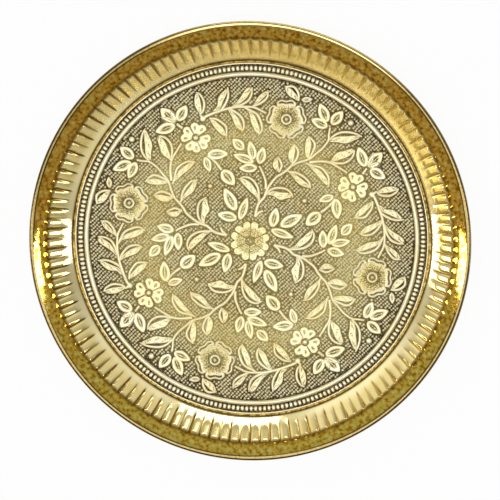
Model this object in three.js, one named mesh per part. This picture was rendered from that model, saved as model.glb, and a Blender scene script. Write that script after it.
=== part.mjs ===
// Pooja plate: a shallow round brass plate with a ribbed wall and an antique floor medallion.
// Millimetres, +Z up, origin on the underside of the floor at the centre of the plate.
import * as THREE from "three";

// Overall plate
const PLATE_DIAMETER = 280;
const PLATE_HEIGHT = 16;
const SHEET_THICKNESS = 0.7;

// Rolled lip and the wire inside it
const WIRE_DIAMETER = 1.2;
const WIRE_CLEARANCE = 0.16;
const LIP_TURN = THREE.MathUtils.degToRad(275);

// Flange, wall and cove, measured on the middle of the sheet
const FLANGE_WIDTH = 10.2;
const FLANGE_SLOPE = THREE.MathUtils.degToRad(15);
const WALL_RUN = 14.3;
const SHOULDER_LENGTH = 1.2;
const COVE_LENGTH = 1;

// Convex ribs pressed into the upper part of the wall, with a plain band left below them
const RIB_COUNT = 124;
const RIB_HEIGHT = 0.9;
const RIB_FOOT_MARGIN = 3.8;
const RIB_HEAD_MARGIN = 0.3;
const RIB_FOOT_ROUNDING = 4.5;
const RIB_HEAD_ROUNDING = 2;

// Floor medallion and the solder under it
const MEDALLION_MARGIN = 0.8;
const MEDALLION_THICKNESS = 0.5;
const SOLDER_THICKNESS = 0.15;
const SOLDER_WIDTH = 9;
const SOLDER_MARGIN = 0.6;

// Border wires on the medallion
const BEAD_COUNT = 240;
const BEAD_LENGTH = 2.8;
const BEAD_HEIGHT = 1.0;
const BEAD_LINK_HEIGHT = 0.35;
const BEAD_SHOULDER = 0.5;
const BEAD_MARGIN = 2;
const PLAIN_WIDTH = 3.2;
const PLAIN_HEIGHT = 1.0;
const BORDER_GAP = 0.7;

// Points around the round pieces, curve steps and wire sides
const ROUND_STEPS = RIB_COUNT;
const CURVE_STEPS = 2;
const LIP_STEPS = 5;
const WIRE_SIDES = 6;
const PLAIN_ARCH_STEPS = 4;

// Places that follow from the sizes above
const plateRadius = PLATE_DIAMETER / 2;
const floorTop = SHEET_THICKNESS;
const lipRadius = WIRE_DIAMETER / 2 + WIRE_CLEARANCE + SHEET_THICKNESS / 2;
const lipCentre = new THREE.Vector2(
  plateRadius - lipRadius - SHEET_THICKNESS / 2,
  PLATE_HEIGHT - lipRadius - SHEET_THICKNESS / 2,
);
const flangeDirection = new THREE.Vector2(Math.cos(FLANGE_SLOPE), Math.sin(FLANGE_SLOPE));
const flangeEnd = new THREE.Vector2(-flangeDirection.y, flangeDirection.x)
  .multiplyScalar(lipRadius)
  .add(lipCentre);
const shoulder = flangeEnd.clone().addScaledVector(flangeDirection, -FLANGE_WIDTH);
const floorCorner = new THREE.Vector2(shoulder.x - WALL_RUN, SHEET_THICKNESS / 2);
const floorFlatRadius = floorCorner.x - COVE_LENGTH;
const medallionRadius = floorFlatRadius - MEDALLION_MARGIN;
const medallionBottom = floorTop + SOLDER_THICKNESS;
const medallionTop = medallionBottom + MEDALLION_THICKNESS;
const beadOuterRadius = medallionRadius - BEAD_MARGIN;
const beadInnerRadius = beadOuterRadius - BEAD_LENGTH;
const plainOuterRadius = beadInnerRadius - BORDER_GAP;

// One point on the middle of the sheet, with the unit normal of its upper face
function sheetPoint(place, tangent, ribbed = false) {
  return { place, normal: new THREE.Vector2(-tangent.y, tangent.x), ribbed };
}

// Points of a bend that rounds off the corner between two straight stretches
function bendPoints(before, corner, after, length) {
  const start = corner.clone().sub(before).setLength(-length).add(corner);
  const end = after.clone().sub(corner).setLength(length).add(corner);
  const curve = new THREE.QuadraticBezierCurve(start, corner, end);
  const points = [];
  for (let step = 0; step <= CURVE_STEPS; step += 1) {
    const along = step / CURVE_STEPS;
    points.push(sheetPoint(curve.getPoint(along), curve.getTangent(along)));
  }
  return points;
}

// The middle of the pan's sheet from the edge of the floor to the end of the rolled lip
function sheetLine() {
  const axisPoint = new THREE.Vector2(0, floorCorner.y);
  const cove = bendPoints(axisPoint, floorCorner, shoulder, COVE_LENGTH);
  const shoulderBend = bendPoints(floorCorner, shoulder, flangeEnd, SHOULDER_LENGTH);
  const wallBottom = cove[cove.length - 1].place;
  const wallTop = shoulderBend[0].place;
  const wallTangent = wallTop.clone().sub(wallBottom).normalize();
  const ribFoot = wallBottom.clone().addScaledVector(wallTangent, RIB_FOOT_MARGIN);
  const ribHead = wallTop.clone().addScaledVector(wallTangent, -RIB_HEAD_MARGIN);
  const ribs = [
    sheetPoint(ribFoot, wallTangent),
    sheetPoint(ribFoot.clone().addScaledVector(wallTangent, RIB_FOOT_ROUNDING), wallTangent, true),
    sheetPoint(ribHead.clone().addScaledVector(wallTangent, -RIB_HEAD_ROUNDING), wallTangent, true),
    sheetPoint(ribHead, wallTangent),
  ];
  const lip = [];
  for (let step = 0; step <= LIP_STEPS; step += 1) {
    const angle = Math.PI / 2 + FLANGE_SLOPE - (LIP_TURN * step) / LIP_STEPS;
    const outward = new THREE.Vector2(Math.cos(angle), Math.sin(angle));
    const tangent = new THREE.Vector2(outward.y, -outward.x);
    lip.push(sheetPoint(outward.multiplyScalar(lipRadius).add(lipCentre), tangent));
  }
  return [...cove, ...ribs, ...shoulderBend, ...lip];
}

// One ring of points around the plate's axis; the shape gives radius and height at each step
function ring(count, shape) {
  const points = [];
  for (let step = 0; step < count; step += 1) {
    const angle = (2 * Math.PI * step) / count;
    const [radius, height] = shape(step);
    points.push([radius * Math.cos(angle), radius * Math.sin(angle), height]);
  }
  return points;
}

// Triangles between two neighbouring rings: a centre point and a ring, two equal rings,
// or a ring and another with twice its points
function bandTriangles(nearCount, farCount, near, far) {
  const triangles = [];
  const steps = nearCount === 1 || farCount === 1
    ? Math.max(nearCount, farCount)
    : Math.min(nearCount, farCount);
  for (let step = 0; step < steps; step += 1) {
    if (nearCount === 1) {
      triangles.push([near(0), far(step + 1), far(step)]);
    } else if (farCount === 1) {
      triangles.push([near(step), near(step + 1), far(0)]);
    } else if (farCount === nearCount) {
      triangles.push([near(step), near(step + 1), far(step)]);
      triangles.push([far(step), near(step + 1), far(step + 1)]);
    } else if (farCount === 2 * nearCount) {
      triangles.push([near(step), far(2 * step + 1), far(2 * step)]);
      triangles.push([near(step), near(step + 1), far(2 * step + 1)]);
      triangles.push([near(step + 1), far(2 * step + 2), far(2 * step + 1)]);
    } else {
      triangles.push([near(2 * step), near(2 * step + 1), far(step)]);
      triangles.push([near(2 * step + 1), far(step + 1), far(step)]);
      triangles.push([near(2 * step + 1), near(2 * step + 2), far(step + 1)]);
    }
  }
  return triangles;
}

// Closed skin over rings in order, from one centre point to another or around a closed section
function skin(rings, closesOnItself) {
  const starts = [];
  let total = 0;
  rings.forEach((points) => {
    starts.push(total);
    total += points.length;
  });
  const triangles = [];
  const bandCount = closesOnItself ? rings.length : rings.length - 1;
  for (let band = 0; band < bandCount; band += 1) {
    const next = (band + 1) % rings.length;
    const nearCount = rings[band].length;
    const farCount = rings[next].length;
    const near = (step) => starts[band] + (step % nearCount);
    const far = (step) => starts[next] + (step % farCount);
    triangles.push(...bandTriangles(nearCount, farCount, near, far));
  }
  const geometry = new THREE.BufferGeometry();
  geometry.setAttribute("position", new THREE.Float32BufferAttribute(rings.flat(2), 3));
  geometry.setIndex(triangles.flat());
  geometry.computeVertexNormals();
  return geometry;
}

// Ring of one face of the pan's sheet; the ribs push both faces the same way
function faceRing(point, side) {
  const count = point.ribbed ? 2 * ROUND_STEPS : ROUND_STEPS;
  return ring(count, (step) => {
    const crest = point.ribbed && step % 2 === 1 ? RIB_HEIGHT : 0;
    const offset = (side * SHEET_THICKNESS) / 2 + crest;
    return [
      point.place.x + offset * point.normal.x,
      point.place.y + offset * point.normal.y,
    ];
  });
}

// Pan: lower face from the axis to the lip's edge, then the upper face back to the axis
function panGeometry() {
  const line = sheetLine();
  const lower = line.map((point) => faceRing(point, -1));
  const upper = line.map((point) => faceRing(point, 1)).reverse();
  const lowerCentre = [[0, 0, 0]];
  const upperCentre = [[0, 0, floorTop]];
  return skin([lowerCentre, ...lower, ...upper, upperCentre], false);
}

// Stiffening wire in the rolled lip
function wireGeometry() {
  const rings = [];
  for (let side = 0; side < WIRE_SIDES; side += 1) {
    const angle = (2 * Math.PI * side) / WIRE_SIDES;
    const radius = lipCentre.x + (WIRE_DIAMETER / 2) * Math.cos(angle);
    const height = lipCentre.y + (WIRE_DIAMETER / 2) * Math.sin(angle);
    rings.push(ring(ROUND_STEPS, () => [radius, height]));
  }
  return skin(rings, true);
}

// Flat disc of the medallion
function medallionGeometry() {
  const profile = [
    new THREE.Vector2(0, medallionBottom),
    new THREE.Vector2(medallionRadius, medallionBottom),
    new THREE.Vector2(medallionRadius, medallionTop),
    new THREE.Vector2(0, medallionTop),
  ];
  return new THREE.LatheGeometry(profile, ROUND_STEPS).rotateX(Math.PI / 2);
}

// Flat ring of solder under the edge of the medallion
function solderGeometry() {
  const outer = medallionRadius - SOLDER_MARGIN;
  const inner = outer - SOLDER_WIDTH;
  const corners = [
    [inner, floorTop],
    [outer, floorTop],
    [outer, medallionBottom],
    [inner, medallionBottom],
  ];
  return skin(corners.map((corner) => ring(ROUND_STEPS, () => corner)), true);
}

// Beaded wire: each bead is a short radial bar, joined to the next by a low link
function beadGeometry() {
  const crownHeight = (step) =>
    medallionTop + (step % 2 === 0 ? BEAD_HEIGHT : BEAD_LINK_HEIGHT);
  return skin(
    [
      ring(BEAD_COUNT, () => [beadInnerRadius, medallionTop]),
      ring(BEAD_COUNT, () => [beadOuterRadius, medallionTop]),
      ring(2 * BEAD_COUNT, (step) => [beadOuterRadius - BEAD_SHOULDER, crownHeight(step)]),
      ring(2 * BEAD_COUNT, (step) => [beadInnerRadius + BEAD_SHOULDER, crownHeight(step)]),
    ],
    true,
  );
}

// Plain half-round wire inside the beads
function plainGeometry() {
  const middle = plainOuterRadius - PLAIN_WIDTH / 2;
  const rings = [];
  for (let step = 0; step <= PLAIN_ARCH_STEPS; step += 1) {
    const angle = (Math.PI * step) / PLAIN_ARCH_STEPS;
    const radius = middle + (PLAIN_WIDTH / 2) * Math.cos(angle);
    const height = medallionTop + PLAIN_HEIGHT * Math.sin(angle);
    rings.push(ring(ROUND_STEPS, () => [radius, height]));
  }
  return skin(rings, true);
}

const plate = new THREE.Group();

function addPiece(name, geometry, color, roughness) {
  const material = new THREE.MeshStandardMaterial({ color, roughness, metalness: 1 });
  const mesh = new THREE.Mesh(geometry, material);
  mesh.name = name;
  plate.add(mesh);
}

addPiece("pan", panGeometry(), 0xd9b44a, 0.2);
addPiece("rim_wire", wireGeometry(), 0xb8964a, 0.5);
addPiece("solder_ring", solderGeometry(), 0x9a9a98, 0.6);
addPiece("medallion", medallionGeometry(), 0xb9a468, 0.45);
addPiece("bead_border", beadGeometry(), 0xc9b67c, 0.4);
addPiece("plain_border", plainGeometry(), 0xd8c88e, 0.4);

export default plate;
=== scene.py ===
import math

import bmesh
import bpy
from mathutils import Matrix, Vector


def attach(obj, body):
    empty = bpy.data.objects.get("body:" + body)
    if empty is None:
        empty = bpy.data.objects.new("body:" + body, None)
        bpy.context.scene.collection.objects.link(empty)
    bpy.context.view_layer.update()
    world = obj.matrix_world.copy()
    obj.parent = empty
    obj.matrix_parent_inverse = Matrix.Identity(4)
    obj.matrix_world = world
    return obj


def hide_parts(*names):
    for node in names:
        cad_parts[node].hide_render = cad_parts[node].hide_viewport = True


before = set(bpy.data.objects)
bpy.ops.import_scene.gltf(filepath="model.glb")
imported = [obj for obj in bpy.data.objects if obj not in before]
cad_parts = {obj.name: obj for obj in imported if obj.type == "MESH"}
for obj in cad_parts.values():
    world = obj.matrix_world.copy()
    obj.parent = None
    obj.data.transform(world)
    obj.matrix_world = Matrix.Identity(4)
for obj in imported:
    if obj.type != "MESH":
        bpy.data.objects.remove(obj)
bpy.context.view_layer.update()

# Pan
# Spun from one sheet of brass and polished: a flat floor, a tight cove, a sloping wall that is plain at its
# foot and pressed into ribs and grooves above, a flange hammered all over, and an edge rolled over a wire. It
# carries every other piece. Sizes are in millimetres, and along the wall from the end of the cove.
MM = 0.001
SHEET_THICKNESS = 0.7
LIP_CENTRE = Vector((138.54, 14.54))
LIP_RADIUS = 1.06
LIP_TURN = math.radians(275)
FLANGE_WIDTH = 10.2
FLANGE_SLOPE = math.radians(15)
FLANGE_BOW = 0.12
WALL_RUN = 14.3
SHOULDER_LENGTH = 1.2
COVE_LENGTH = 1.0
FLOOR_FAN_RADIUS = 100
RIB_PAIRS = 62
RIB_HEIGHT = 0.42
RIB_FOOT = 5.8
RIB_FOOT_BOW = 3.0
RIB_STEP = 0.16
RIB_STEP_LENGTH = 3.5
RIB_HEAD_OVERRUN = 1.4
RIB_HEAD_ROUNDING = 3.6
GROOVE_DEPTH = 0.55
GROOVE_FOOT = 2.0
GROOVE_FADE = 4.0
GROOVE_SHARPNESS = 6.0
SHARED_GROOVE = 0.8
WEDGE_FOOT = 3.0
WEDGE_HEAD = 0.7
WEDGE_OVERRUN = -0.8
WEDGE_FADE = 1.8
PAIR_COLUMNS = 24
COVE_STEPS = 3
WALL_STEPS = 17
SHOULDER_STEPS = 4
FLANGE_STEPS = 8
LIP_STEPS = 10


def heading(angle):
    """A step of length 1 in a direction."""
    return Vector((math.cos(angle), math.sin(angle)))


def bend_points(before, corner, after, steps):
    """Points of a rounded corner that leaves one straight and joins the next without a break."""
    shares = [step / steps for step in range(steps + 1)]
    return [before.lerp(corner, share).lerp(corner.lerp(after, share), share) for share in shares]


def straight_points(start, end, steps, bow=0):
    """Points from start to end, without start itself, bowed up by an amount in the middle."""
    line = (end - start).normalized()
    upward = Vector((-line.y, line.x))
    shares = [step / steps for step in range(1, steps + 1)]
    return [start.lerp(end, share) + 4 * bow * share * (1 - share) * upward for share in shares]


lip_first = math.pi / 2 + FLANGE_SLOPE
flange_end = LIP_CENTRE + LIP_RADIUS * heading(lip_first)
flange_direction = heading(FLANGE_SLOPE)
shoulder = flange_end - FLANGE_WIDTH * flange_direction
floor_corner = Vector((shoulder.x - WALL_RUN, SHEET_THICKNESS / 2))
wall_direction = (shoulder - floor_corner).normalized()
cove_start = floor_corner - Vector((COVE_LENGTH, 0))
cove_end = floor_corner + COVE_LENGTH * wall_direction
shoulder_start = shoulder - SHOULDER_LENGTH * wall_direction
shoulder_end = shoulder + SHOULDER_LENGTH * flange_direction

sheet_line = bend_points(cove_start, floor_corner, cove_end, COVE_STEPS)
sheet_line += straight_points(cove_end, shoulder_start, WALL_STEPS)
sheet_line += bend_points(shoulder_start, shoulder, shoulder_end, SHOULDER_STEPS)[1:]
shoulder_index = len(sheet_line) - 1
sheet_line += straight_points(shoulder_end, flange_end, FLANGE_STEPS, FLANGE_BOW)
for step in range(1, LIP_STEPS + 1):
    sheet_line.append(LIP_CENTRE + LIP_RADIUS * heading(lip_first - LIP_TURN * step / LIP_STEPS))

# How far along the sheet each point lies, from the end of the cove.
travel = [0]
for before, after in zip(sheet_line, sheet_line[1:]):
    travel.append(travel[-1] + (after - before).length)
travel = [distance - travel[COVE_STEPS] for distance in travel]
rib_head = travel[shoulder_index] + RIB_HEAD_OVERRUN
pair_places = [2 * column / PAIR_COLUMNS - 1 for column in range(PAIR_COLUMNS + 1)]


def clamp(share):
    """A share kept from 0 to 1."""
    return min(1, max(0, share))


def ease(share):
    """A share from 0 to 1 that starts and ends gently."""
    share = clamp(share)
    return share * share * (3 - 2 * share)


def rib_share(place, along):
    """How far a rib has grown: a rounded foot, steadily more up the wall, and a round end at its head."""
    from_foot = max(0, along - RIB_FOOT - RIB_FOOT_BOW * (2 * abs(place) - 1) ** 2)
    step = ease(from_foot / RIB_STEP_LENGTH)
    grown = RIB_STEP * step + (1 - RIB_STEP) * clamp(from_foot / (rib_head - RIB_FOOT))
    return grown * ease((rib_head - along) / RIB_HEAD_ROUNDING)


def groove_share(place):
    """How deep a groove is from -1 to 1 across a pair of ribs: 0 on a crest, 1 between two pairs."""
    across = 2 * abs(place) - 1
    depth = math.sin(math.pi / 2 * abs(across)) ** GROOVE_SHARPNESS
    return depth * SHARED_GROOVE if across < 0 else depth


def groove_length(along):
    """The share of its depth that a groove has along the wall, more and more up to the heads of the ribs."""
    gained = clamp((along - GROOVE_FOOT) / (rib_head - GROOVE_FOOT))
    return gained * ease((rib_head - along) / RIB_HEAD_ROUNDING)


def wash_share(place, along):
    """How much painted shade a groove carries: a thin line at its foot that widens to a wedge at its head."""
    gained = clamp((along - GROOVE_FOOT) / GROOVE_FADE)
    narrowing = WEDGE_FOOT + (WEDGE_HEAD - WEDGE_FOOT) * clamp(along / rib_head)
    left = ease((rib_head + WEDGE_OVERRUN - along) / WEDGE_FADE)
    return gained * left * groove_share(place) ** narrowing


def turned(radius, angle, height):
    """A point by its distance from the plate's axis, its direction and its height."""
    return (radius * math.cos(angle), radius * math.sin(angle), height)


def sheet_row(index, side):
    """One row of a pair's slice of the sheet, on its upper side (1) or its lower side (-1)."""
    ahead = sheet_line[min(index + 1, len(sheet_line) - 1)]
    behind = sheet_line[max(index - 1, 0)]
    tangent = (ahead - behind).normalized()
    normal = Vector((-tangent.y, tangent.x))
    row = []
    for place in pair_places:
        groove = groove_share(place)
        lift = RIB_HEIGHT * rib_share(place, travel[index]) * (1 - groove)
        lift -= GROOVE_DEPTH * groove * groove_length(travel[index])
        spot = sheet_line[index] + normal * (side * SHEET_THICKNESS / 2 + lift)
        row.append(turned(spot.x, place * math.pi / RIB_PAIRS, spot.y))
    return row


def row_faces(rows, width, first=0):
    """Faces between rows of points that follow each other, all of the same width."""
    corners = [first + row * width + column for row in range(rows - 1) for column in range(width - 1)]
    return [(corner, corner + width, corner + width + 1, corner + 1) for corner in corners]


def new_mesh(name, points, faces, edges=(), **marks):
    """A mesh from points in millimetres, with marks on its points that a material or a tree reads by name."""
    mesh = bpy.data.meshes.new(name)
    mesh.from_pydata([tuple(MM * number for number in point) for point in points], edges, faces)
    mesh.update()
    for mark, values in marks.items():
        mesh.attributes.new(mark, "FLOAT", "POINT").data.foreach_set("value", values)
    return mesh


def new_piece(name, data):
    """A mesh, a lamp or a camera as an object of the scene, at the origin."""
    piece = bpy.data.objects.new(name, data)
    bpy.context.scene.collection.objects.link(piece)
    return piece


def rib_pair_slice():
    """The slice of the pan that two ribs take: its section from the centre out, round the lip and back."""
    last = len(sheet_line) - 1
    rows = [sheet_row(index, 1) for index in range(last + 1)]
    rows += [sheet_row(index, -1) for index in (*range(last, 0, -2), 0)]
    points = [point for row in rows for point in row]
    width = PAIR_COLUMNS + 1
    faces = row_faces(len(rows), width)
    half = math.pi / RIB_PAIRS
    for level, first, upward in ((SHEET_THICKNESS, 0, True), (0, (len(rows) - 1) * width, False)):
        centre = len(points)
        points += [(0, 0, level), *(turned(FLOOR_FAN_RADIUS, angle, level) for angle in (-half, half))]
        inner = (centre, centre + 1, centre + 2)
        outer = (centre + 1, *range(first, first + width), centre + 2)
        faces += [inner, outer] if upward else [inner[::-1], outer[::-1]]
    # Each point's share of the painted shade in the grooves.
    groove_shades = [wash_share(place, along) for along in travel for place in pair_places]
    groove_shades += [0] * (len(points) - len(groove_shades))
    return new_mesh("rib_pair_slice", points, faces, hollow=groove_shades)


def linear(hex_colour):
    """An sRGB hex colour as linear red, green, blue and alpha."""
    channels = [int(hex_colour[place:place + 2], 16) / 255 for place in (1, 3, 5)]
    return (*[c / 12.92 if c <= 0.04045 else ((c + 0.055) / 1.055) ** 2.4 for c in channels], 1)


def add_node(tree, kind, inputs=None, **settings):
    """Adds a node with its settings, and fills its inputs or links them to other nodes."""
    node = tree.nodes.new(kind)
    for name, value in settings.items():
        setattr(node, name, value)
    for place, value in (inputs or {}).items():
        for source in value if isinstance(value, list) else [value]:
            if isinstance(source, bpy.types.Node):
                source = next(socket for socket in source.outputs if socket.enabled)
            if isinstance(source, bpy.types.NodeSocket):
                tree.links.new(source, node.inputs[place])
            else:
                node.inputs[place].default_value = source
    return node


def add_math(tree, operation, *values, **settings):
    """Adds a node that works out a number from values in order."""
    return add_node(tree, "ShaderNodeMath", dict(enumerate(values)), operation=operation, **settings)


def add_ramp(tree, measure, stops):
    """Adds colours that follow each other along a measure."""
    ramp = add_node(tree, "ShaderNodeValToRGB", {"Fac": measure})
    elements = ramp.color_ramp.elements
    while len(elements) < len(stops):
        elements.new(1)
    for place, (position, hex_colour) in enumerate(stops):
        elements[place].position = position
        elements[place].color = linear(hex_colour)
    return ramp


def empty_tree(holder):
    """The node tree of a material or a world, emptied."""
    holder.use_nodes = True
    holder.node_tree.nodes.clear()
    return holder.node_tree


def new_material(name):
    """A material with an empty tree, and the place on the piece in millimetres, which its patterns follow."""
    material = bpy.data.materials.new(name)
    tree = empty_tree(material)
    place = add_node(tree, "ShaderNodeTexCoord").outputs["Object"]
    place = add_node(tree, "ShaderNodeVectorMath", {0: place, "Scale": 1 / MM}, operation="SCALE")
    return material, tree, place


def end_material(tree, inputs):
    """Ends a material: its shader with what drives it, on the surface."""
    shader = add_node(tree, "ShaderNodeBsdfPrincipled", inputs)
    add_node(tree, "ShaderNodeOutputMaterial", {"Surface": shader})


def from_axis(tree, place):
    """The distance of a place from the plate's axis."""
    flat = add_node(tree, "ShaderNodeVectorMath", {0: place, 1: (1.0, 1.0, 0.0)}, operation="MULTIPLY")
    return add_node(tree, "ShaderNodeVectorMath", {0: flat}, operation="LENGTH")


def zone_share(tree, *zones):
    """A share that grows from 0 to 1 as each measure goes through its zone, from a start to an end."""
    share = 1.0
    for measure, start, end in zones:
        crossed = add_node(tree, "ShaderNodeMapRange", {"Value": measure, "From Min": start, "From Max": end})
        share = add_math(tree, "MULTIPLY", crossed, share)
    return share


# Polished brass: clear yellow gold that mirrors the room. The smooth foot of the wall carries a painted
# highlight, and its top side is worn duller and carries painted shade. Brown wedges of painted shade lie
# in the grooves between the ribs, painted lighter on one side. The hammered flange is a deeper mottled
# gold, painted paler towards the bottom as painted light, with painted shade in the crease at its inner
# edge. The lip is dull, with painted light along its top, painted shade on its upper left side, and a
# painted dark reflection along its outer edge at the bottom. The joint beside the medallion carries a
# painted dark line of shade. A pattern has a grain and a detail, and a tone goes through its colours
# along a pattern.
NOISE_LOW = 0.3
NOISE_MIDDLE = 0.5
NOISE_HIGH = 0.7
BRASS_PATTERNS = {"cloud": (18, 4.0), "wave": (1.6, 2.0), "mottle": (2.4, 4.0)}
BRASS_TONES = {
    # Painted highlight on the smooth foot of the wall.
    "band": ("cloud", (0.3, "#F0DE9C"), (0.7, "#F6E8B4")),
    "buffed": ("cloud", (0.3, "#D2BC74"), (0.7, "#DECC90")),
    # Painted shade on the top side of the wall. The same tone is the floor's gold by the joint.
    "worn": ("cloud", (0.3, "#D0BA76"), (0.7, "#DAC88E")),
    "hammered": ("mottle", (0.32, "#986814"), (0.43, "#D69A2C"), (0.5, "#F2BA46"), (0.57, "#F0C24C"),
                 (0.67, "#FFE684")),
    # Painted light: the lower half of the flange is painted paler.
    "hammered_low": ("mottle", (0.32, "#A87E20"), (0.43, "#DAB036"), (0.5, "#F4D056"), (0.57, "#F2D85C"),
                     (0.67, "#FFF294")),
    # Painted shade in the crease at the inner edge of the flange.
    "crease": ("mottle", (0.35, "#80560E"), (0.65, "#B88624")),
    # Painted light along the top of the lip.
    "lip_gold": ("wave", (0.3, "#BCA262"), (0.7, "#D6BE82")),
    "lip_dull": ("wave", (0.3, "#6A5A34"), (0.7, "#82724A")),
    # Painted shade on the upper left side of the lip.
    "lip_brown": ("wave", (0.3, "#584A28"), (0.7, "#6E603A")),
    # Painted dark reflection along the outer edge of the lip at the bottom.
    "tarnish": ("wave", (0.3, "#4A3814"), (0.7, "#6E5522")),
    # Painted shade: a dark line in the joint beside the medallion.
    "joint_wash": ("wave", (0.35, "#43340E"), (0.65, "#836B34")),
    # Painted shade in the grooves between the ribs: dark, and painted lighter on the side towards the light.
    "groove_brown": ("wave", (0.3, "#584212"), (0.7, "#785E26")),
    "groove_tan": ("wave", (0.3, "#A08038"), (0.7, "#BA9C52")),
}
# Each layer: what it makes, what lies under and over it, and the zones in which the upper one takes over,
# each by a measure from a start to an end.
BRASS_LAYERS = (
    # Painted highlight: the foot of the wall is painted paler than the ribs.
    ("wall", "band", "buffed", ("radius", 117, 120.5)),
    # Painted shade: the top side of the wall is painted a little darker.
    ("wall", "wall", "worn", ("upward", 75, 116)),
    # Painted shade on the upper side of the floor by the joint.
    ("joint", "worn", "joint_wash", ("level", 0.3 * SHEET_THICKNESS, 0.7 * SHEET_THICKNESS)),
    # Painted light: the flange is painted paler towards the bottom.
    ("flange", "hammered", "hammered_low", ("upward", 20, -90)),
    # Painted shade in the crease where the wall turns into the flange.
    ("flange", "flange", "crease", ("radius", shoulder.x + 2.4, shoulder.x + 0.6)),
    # Painted shade in the grooves is painted lighter on the side towards the light.
    ("groove", "groove_brown", "groove_tan", ("rubbed", -45, 35)),
    # Painted light: the lip is painted brighter along the top of the plate.
    ("lip", "lip_gold", "lip_dull", ("upward", 125, 95)),
    # Painted shade on the upper left side of the lip.
    ("lip", "lip", "lip_brown", ("unrubbed", 100, 130)),
    ("pan", "joint", "wall", ("radius", floor_corner.x - 0.1, floor_corner.x + 1.1)),
    ("pan", "pan", "flange", ("radius", shoulder.x - 1.2, shoulder.x + 0.6)),
    # Painted shade in the grooves between the ribs, as wedges.
    ("pan", "pan", "groove", ("hollow", 0.2, 0.7)),
    ("pan", "pan", "lip", ("radius", flange_end.x - 1.9, flange_end.x - 1.3)),
    # Painted dark reflection on the outer edge of the lip, towards the bottom of the plate.
    ("pan", "pan", "tarnish", ("radius", 138.5, 138.9), ("upward", -20, -90)),
)
# The places of the lower and the upper colour among a mix node's inputs.
UNDER = 6
OVER = 7
# The directions of the side of each groove that is painted lighter, and of the side of the lip that carries
# painted shade.
BRASS_SIDES = {"rubbed": (0.94, 0.34, 0.0), "unrubbed": (-0.77, 0.64, 0.0)}
BRASS_WAVE_DEPTH = 0.004
DULL_CLOUD = 0.12
CLEAR_CLOUD = 0.08
TOP_START = 30
TOP_END = 100
TOP_DULLNESS = 0.13
GLOSS_START = shoulder.x - 0.6
GLOSS_END = shoulder.x + 0.6
FLANGE_GLOSS = 0.05
polished_brass, tree, place = new_material("polished_brass")
patterns = {}
for name, (grain, detail) in BRASS_PATTERNS.items():
    patterns[name] = add_node(tree, "ShaderNodeTexNoise", {
        "Vector": place, "Scale": 1 / grain, "Detail": detail})
tones = {}
for name, (pattern, *stops) in BRASS_TONES.items():
    tones[name] = add_ramp(tree, patterns[pattern], stops)
radius = from_axis(tree, place)
parts = add_node(tree, "ShaderNodeSeparateXYZ", {"Vector": place}).outputs
hollow = add_node(tree, "ShaderNodeAttribute", attribute_name="hollow").outputs["Fac"]
measures = {"radius": radius, "upward": parts["Y"], "level": parts["Z"], "hollow": hollow}
for name, side in BRASS_SIDES.items():
    measures[name] = add_node(tree, "ShaderNodeVectorMath", {0: place, 1: side}, operation="DOT_PRODUCT")
for name, under, over, *zones in BRASS_LAYERS:
    share = zone_share(tree, *((measures[measure], start, end) for measure, start, end in zones))
    tones[name] = add_node(tree, "ShaderNodeMix", {
        "Factor": share, UNDER: tones[under], OVER: tones[over]}, data_type="RGBA")
dullness = add_node(tree, "ShaderNodeMapRange", {
    "Value": patterns["cloud"], "From Min": NOISE_LOW, "From Max": NOISE_HIGH,
    "To Min": DULL_CLOUD, "To Max": CLEAR_CLOUD})
top_wall = zone_share(tree, (parts["Y"], TOP_START, TOP_END), (radius, GLOSS_END, GLOSS_START))
flange = zone_share(tree, (radius, GLOSS_START, GLOSS_END))
for share, change in ((top_wall, TOP_DULLNESS), (flange, -FLANGE_GLOSS)):
    dullness = add_math(tree, "MULTIPLY_ADD", share, change, dullness)
waves = add_node(tree, "ShaderNodeBump", {
    "Strength": 1.0, "Distance": BRASS_WAVE_DEPTH * MM, "Height": patterns["wave"]})
end_material(tree, {"Base Color": tones["pan"], "Roughness": dullness, "Normal": waves, "Metallic": 1.0})


def new_shaper(name, inputs):
    """An empty node tree that takes a mesh and named inputs of their values' kinds, and gives a mesh."""
    tree = bpy.data.node_groups.new(name, "GeometryNodeTree")
    tree.interface.new_socket("Geometry", in_out="OUTPUT", socket_type="NodeSocketGeometry")
    tree.interface.new_socket("Geometry", in_out="INPUT", socket_type="NodeSocketGeometry")
    for label, value in inputs.items():
        kind = type(value).__name__.capitalize()
        tree.interface.new_socket(label, in_out="INPUT", socket_type="NodeSocket" + kind)
    return tree, add_node(tree, "NodeGroupInput").outputs


def end_shaper(tree, geometry, material):
    """Ends a tree: instances made real, shaded smooth, with one material."""
    real = add_node(tree, "GeometryNodeRealizeInstances", {"Geometry": geometry})
    smooth = add_node(tree, "GeometryNodeSetShadeSmooth", {"Geometry": real})
    painted = add_node(tree, "GeometryNodeSetMaterial", {"Geometry": smooth, "Material": material})
    add_node(tree, "NodeGroupOutput", {"Geometry": painted})


def shape_piece(name, mesh, tree, inputs):
    """A piece that a tree makes from a mesh and the values of its inputs, kept as a plain mesh."""
    piece = new_piece(name, mesh)
    modifier = piece.modifiers.new(tree.name, "NODES")
    modifier.node_group = tree
    for item in tree.interface.items_tree:
        if item.in_out == "INPUT" and item.name in inputs:
            modifier[item.identifier] = inputs[item.name]
    shaped = piece.evaluated_get(bpy.context.evaluated_depsgraph_get())
    plain_mesh = bpy.data.meshes.new_from_object(shaped)
    piece.modifiers.remove(modifier)
    piece.data = plain_mesh
    return piece


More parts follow.
